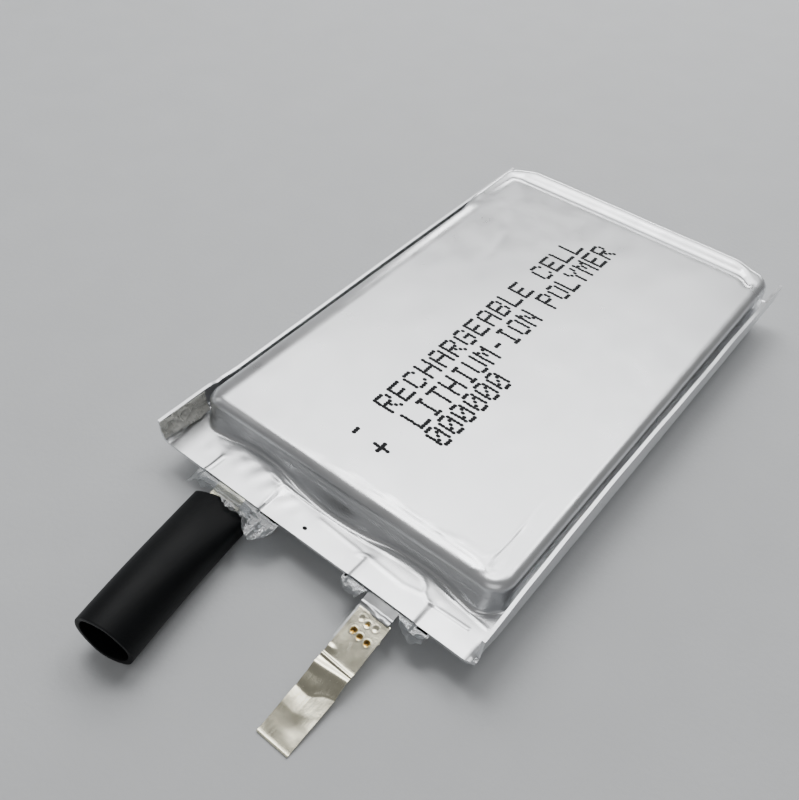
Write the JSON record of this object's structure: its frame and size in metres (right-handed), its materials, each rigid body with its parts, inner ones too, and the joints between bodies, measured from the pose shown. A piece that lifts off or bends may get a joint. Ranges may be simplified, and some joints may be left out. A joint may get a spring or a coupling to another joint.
{
  "type": "pouch battery cell",
  "caption": "Flat lithium-polymer pouch cell with a sealed ledge, folded side seals, a welded nickel lead on one tab and an insulating sleeve on the other.",
  "frame": {"origin": "centre of the flat back face of the pouch", "axes": "+X to the right seen from the terminal end, +Y from the terminal end to the folded end, +Z from the back face to the printed front face"},
  "size_m": [0.0336, 0.0683, 0.0062],
  "materials": {
    "laminate": "satin nylon-faced aluminium laminate, cold drawn, with printed dots of black ink",
    "tab_aluminium": "rolled soft aluminium foil",
    "tab_nickel": "rolled nickel strip, satin, with weld pits",
    "seal_film": "clear heat-sealed polypropylene film",
    "sleeve": "matte black insulating tube",
    "cathode": "black lithium metal oxide coat on aluminium foil",
    "anode": "dark grey graphite coat on copper foil",
    "separator": "white microporous polyolefin film",
    "tape": "green polyester tape",
    "clear_tape": "clear polyester tape, creased"
  },
  "bodies": {
    "pouch": {"pouch_front_sheet": "laminate", "pouch_back_sheet": "laminate", "cathode_sheet": "cathode", "inner_separator": "separator", "anode_sheet": "anode", "outer_separator": "separator", "closing_tape": "tape", "positive_tab_root": "tab_aluminium", "positive_tab_film_upper": "seal_film", "positive_tab_film_lower": "seal_film", "positive_tab_tape_upper": "tape", "positive_tab_tape_lower": "tape", "negative_tab_root": "tab_nickel", "negative_tab_film_upper": "seal_film", "negative_tab_film_lower": "seal_film", "negative_tab_tape_upper": "tape", "negative_tab_tape_lower": "tape", "corner_tape": "clear_tape"},
    "positive_terminal": {"positive_tab": "tab_aluminium", "positive_lead": "tab_nickel"},
    "negative_terminal": {"negative_tab": "tab_nickel"},
    "sleeve": {"negative_tab_sleeve": "sleeve"}
  },
  "joints": [
    {"name": "positive_tab_bend", "type": "hinge", "parent": "pouch", "child": "positive_terminal", "pos_m": [0.0084, -0.02875, 0.0027], "axis": [-1, 0, 0], "range_deg": [0, 90]},
    {"name": "negative_tab_bend", "type": "hinge", "parent": "pouch", "child": "negative_terminal", "pos_m": [-0.008, -0.02875, 0.0027], "axis": [-1, 0, 0], "range_deg": [0, 90]},
    {"name": "sleeve_pull_off", "type": "slide", "parent": "negative_terminal", "child": "sleeve", "axis": [0.1908, -0.9816, 0], "range_m": [0, 0.012]}
  ]
}
